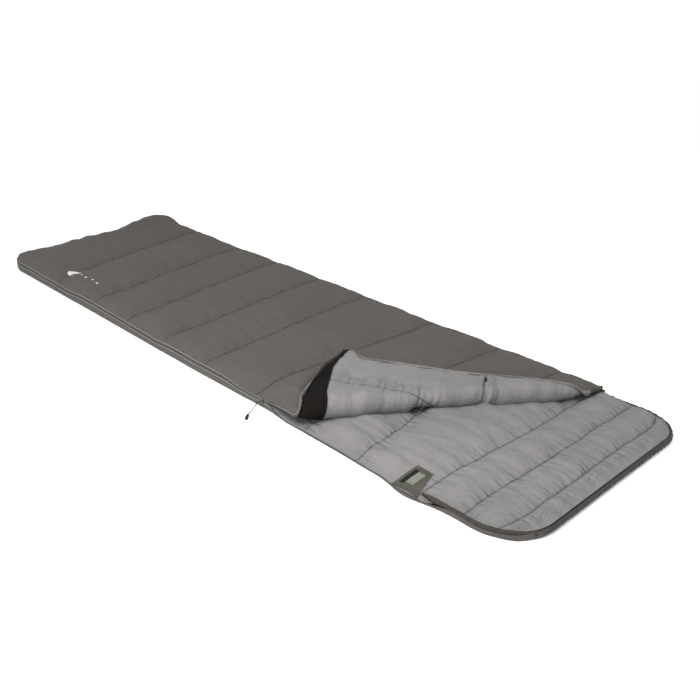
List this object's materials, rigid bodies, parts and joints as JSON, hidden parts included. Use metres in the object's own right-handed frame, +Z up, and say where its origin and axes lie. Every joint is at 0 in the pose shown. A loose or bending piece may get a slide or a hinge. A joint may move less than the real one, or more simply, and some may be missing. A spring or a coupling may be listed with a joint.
{
  "type": "rectangular sleeping bag",
  "caption": "Rectangular quilted sleeping bag with a long side zip and a flat hood, laid out with one corner of the top cover folded back.",
  "frame": {"origin": "on the ground under the middle of the bag", "axes": "+X from the foot to the head, +Y from the zipped side to the closed side, +Z up"},
  "size_m": [2.2537, 0.8678, 0.0778],
  "materials": {
    "shell_fabric": "plain-weave polyester shell, warm dark grey, soft sheen",
    "lining_fabric": "brushed polyester lining, mid grey",
    "insulation": "hollow-fibre polyester filling",
    "dark_fabric": "black polyester draft strip",
    "rim_fabric": "gathered shell fabric, darker than the top",
    "zip_tape": "woven zip tape, dark grey",
    "zip_coil": "nylon coil, dark grey",
    "piping_fabric": "pale grey piping",
    "slider_metal": "die-cast slider painted black",
    "cord": "braided cord, black",
    "moulded_end": "moulded black end",
    "patch_fabric": "dark grey woven patch",
    "label_black": "black woven label",
    "label_pale": "printed care label, pale, with no text",
    "thread": "off-white embroidery thread"
  },
  "bodies": {
    "root": {"bottom_shell": "shell_fabric", "bottom_insulation": "insulation", "bottom_lining": "lining_fabric", "hood_shell": "shell_fabric", "hood_insulation": "insulation", "hood_lining": "lining_fabric", "hood_rim": "rim_fabric", "top_lining": "lining_fabric", "top_insulation": "insulation", "top_shell": "shell_fabric", "fold_shell": "shell_fabric", "fold_insulation": "insulation", "fold_lining": "lining_fabric", "fold_facing": "dark_fabric", "fold_zip_tape": "zip_tape", "fold_zip_coil": "zip_coil", "fold_piping": "piping_fabric", "far_side_shell": "shell_fabric", "lower_zip_tape": "zip_tape", "lower_zip_coil": "zip_coil", "lower_piping": "piping_fabric", "upper_zip_tape": "zip_tape", "upper_zip_coil": "zip_coil", "upper_piping": "piping_fabric", "lower_top_stop": "slider_metal", "zip_bottom_stop": "slider_metal", "zip_facing": "dark_fabric", "label_patch": "patch_fabric", "black_tab": "label_black", "care_label": "label_pale", "stitched_motif": "thread"},
    "flap": {"flap_lining": "lining_fabric", "flap_insulation": "insulation", "flap_shell": "shell_fabric", "flap_zip_tape": "zip_tape", "flap_zip_coil": "zip_coil", "flap_piping": "piping_fabric", "flap_top_stop": "slider_metal", "flap_facing": "dark_fabric", "liner_loop": "dark_fabric"},
    "slider": {"zip_slider": "slider_metal", "slider_bail": "slider_metal"},
    "pull": {"pull_cord": "cord", "pull_end": "moulded_end"}
  },
  "joints": [
    {"name": "corner_fold", "type": "hinge", "parent": "root", "child": "flap", "pos_m": [0.66739, -0.10278, 0.052], "axis": [0.4848, 0.8746, 0], "range_deg": [0, 179], "deforming": ["fold_shell", "fold_insulation", "fold_lining", "fold_facing", "fold_zip_tape", "fold_zip_coil", "fold_piping"]},
    {"name": "zip_slide", "type": "slide", "parent": "root", "child": "slider", "axis": [1, 0, 0], "range_m": [-1.332, 0.477]},
    {"name": "pull_swing", "type": "hinge", "parent": "slider", "child": "pull", "pos_m": [0.372, -0.4044, 0.025], "axis": [0, 0, 1], "range_deg": [-50, 55]}
  ]
}
